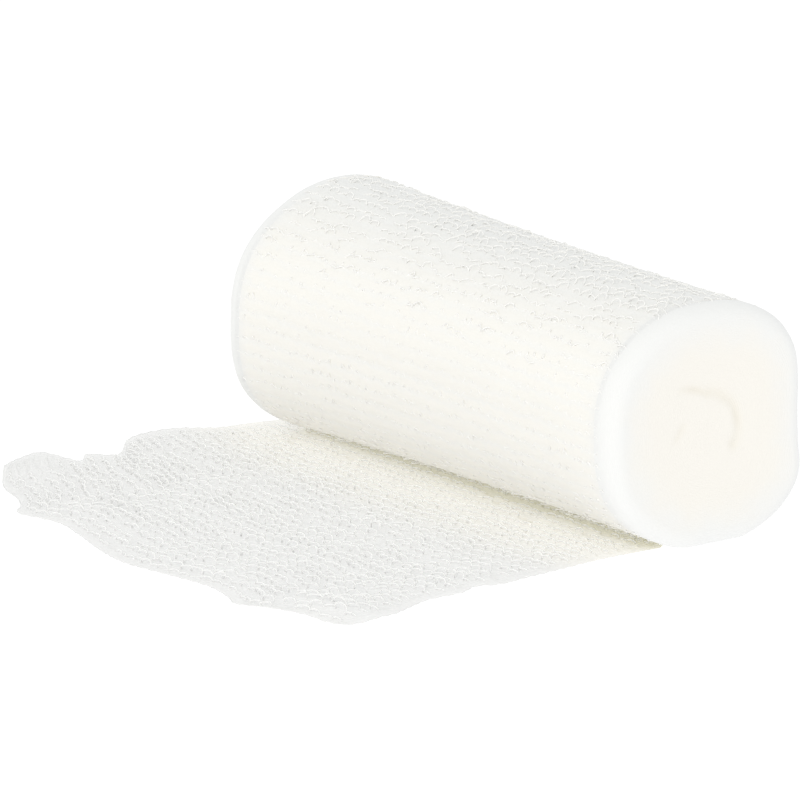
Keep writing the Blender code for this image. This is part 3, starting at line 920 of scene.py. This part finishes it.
def yarn_finish(name, colours):
    """Bleached yarn of loose fibres, a little different from stitch to stitch."""
    material, bench, shader = material_bench(name)
    pale, deep = colours
    twist = bench.noise(bench.add("ShaderNodeTexCoord", out="Object"), 5000.0, 2.0)
    colour = bench.mix(bench.painted("tone") * 0.6 + twist * 0.4, deep, pale)
    bench.feed(shader, {"Base Color": colour, "Normal": bench.bump(twist, 0.3, 0.05),
                        "Roughness": twist * 0.15 + 0.7, "Specular IOR Level": 0.25, "Sheen Weight": 0.6})
    return material


def floor_finish():
    material, bench, shader = material_bench("pale_floor")
    bench.feed(shader, {"Base Color": (FLOOR_GREY, FLOOR_GREY, FLOOR_GREY, 1), "Roughness": 0.9,
                        "Specular IOR Level": 0.0, "Emission Color": (1, 1, 1, 1),
                        "Emission Strength": FLOOR_GLOW})
    return material


# ---------------------------------------------------------------- stage, light and camera


def lay_floor():
    mesh = bpy.data.meshes.new("floor")
    reach = FLOOR_REACH
    mesh.from_pydata([(-reach, -reach, 0), (reach, -reach, 0), (reach, reach, 0), (-reach, reach, 0)],
                     [], [(0, 1, 2, 3)])
    mesh.materials.append(floor_finish())
    floor = place_piece("floor", mesh)
    floor.location.z = -FLOOR_DROP * MM


def looking_back(azimuth, elevation):
    """Direction from the bandage to an eye or lamp at an azimuth and elevation."""
    a, e = math.radians(azimuth), math.radians(elevation)
    return Vector((math.sin(a) * math.cos(e), -math.cos(a) * math.cos(e), math.sin(e)))


def stand(name, data, place, back):
    """Put a lamp or camera at a place, turned against the direction that led to it."""
    holder = bpy.data.objects.new(name, data)
    bpy.context.scene.collection.objects.link(holder)
    holder.location = place
    holder.rotation_mode = "QUATERNION"
    holder.rotation_quaternion = (-back).to_track_quat("-Z", "Y")
    return holder


def light_stage():
    """Even light from all round, and a soft warm lamp from the front."""
    scene = bpy.context.scene
    scene.view_settings.view_transform = "Standard"
    scene.view_settings.look = "None"
    scene.cycles.diffuse_bounces = 8  # light goes deep into white cloth
    scene.world = bpy.data.worlds.new("studio")
    scene.world.use_nodes = True
    backdrop = scene.world.node_tree.nodes["Background"]
    backdrop.inputs["Color"].default_value, backdrop.inputs["Strength"].default_value = BACKDROP
    light = bpy.data.lights.new("front_light", "AREA")
    light.shape = "SQUARE"
    light.size = FRONT_LIGHT.size
    light.energy = FRONT_LIGHT.watts
    light.color = FRONT_LIGHT.colour
    back = looking_back(FRONT_LIGHT.azimuth, FRONT_LIGHT.elevation)
    stand("front_light", light, Vector(in_row_frame(LIGHT_AIM)) + back * FRONT_LIGHT.distance, back)


def set_camera():
    """The photo's view, fitted to the outline of the bandage."""
    data = bpy.data.cameras.new("camera")
    data.sensor_width = 36.0
    data.lens = CAMERA_LENS
    data.clip_start, data.clip_end = 0.05, 20.0
    azimuth = math.radians(CAMERA_SIDE[0])
    back = looking_back(*CAMERA_SIDE)
    right = Vector((math.cos(azimuth), math.sin(azimuth), 0))
    up = back.cross(right)
    aim = Vector(in_row_frame(CAMERA_AIM)) - right * AIM_SHIFT[0] * MM - up * AIM_SHIFT[1] * MM
    bpy.context.scene.camera = stand("camera", data, aim + back * CAMERA_DISTANCE * MM, back)


# ---------------------------------------------------------------- assembly


def main():
    tree = yarn_tree()
    side = ground_finish("wound_ground", SIDE_COLOURS, SIDE_LOOP_SHADE, sheer=False)
    loose = ground_finish("loose_ground", LOOSE_COLOURS, LOOSE_ROLL_BOUNCE, sheer=True)
    cream_yarn = yarn_finish("cream_yarn", CREAM_YARN)
    white_yarn = yarn_finish("white_yarn", WHITE_YARN)

    roll = wound_gauze(side, end_finish())
    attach(roll, "root")
    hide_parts("wound_roll")

    back = yarn_piece("roll_courses_back", roll_weft_paths(TOP_COURSES), TOP_YARN, cream_yarn, tree)
    front = yarn_piece("roll_courses_front", roll_weft_paths(FRONT_COURSES), FRONT_YARN, cream_yarn, tree)
    sheet_paths = loose_weft_paths() + wrap_weft_paths()
    on_sheet = yarn_piece("loose_courses", sheet_paths, LOOSE_YARN, white_yarn, tree)
    for piece, slot in ((back, "wound_gauze"), (front, "wound_gauze"), (on_sheet, "loose_gauze")):
        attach(piece, "root")

    sheet = loose_gauze(loose)
    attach(sheet, "root")
    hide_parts("loose_end")
    lay_floor()
    light_stage()
    set_camera()


main()
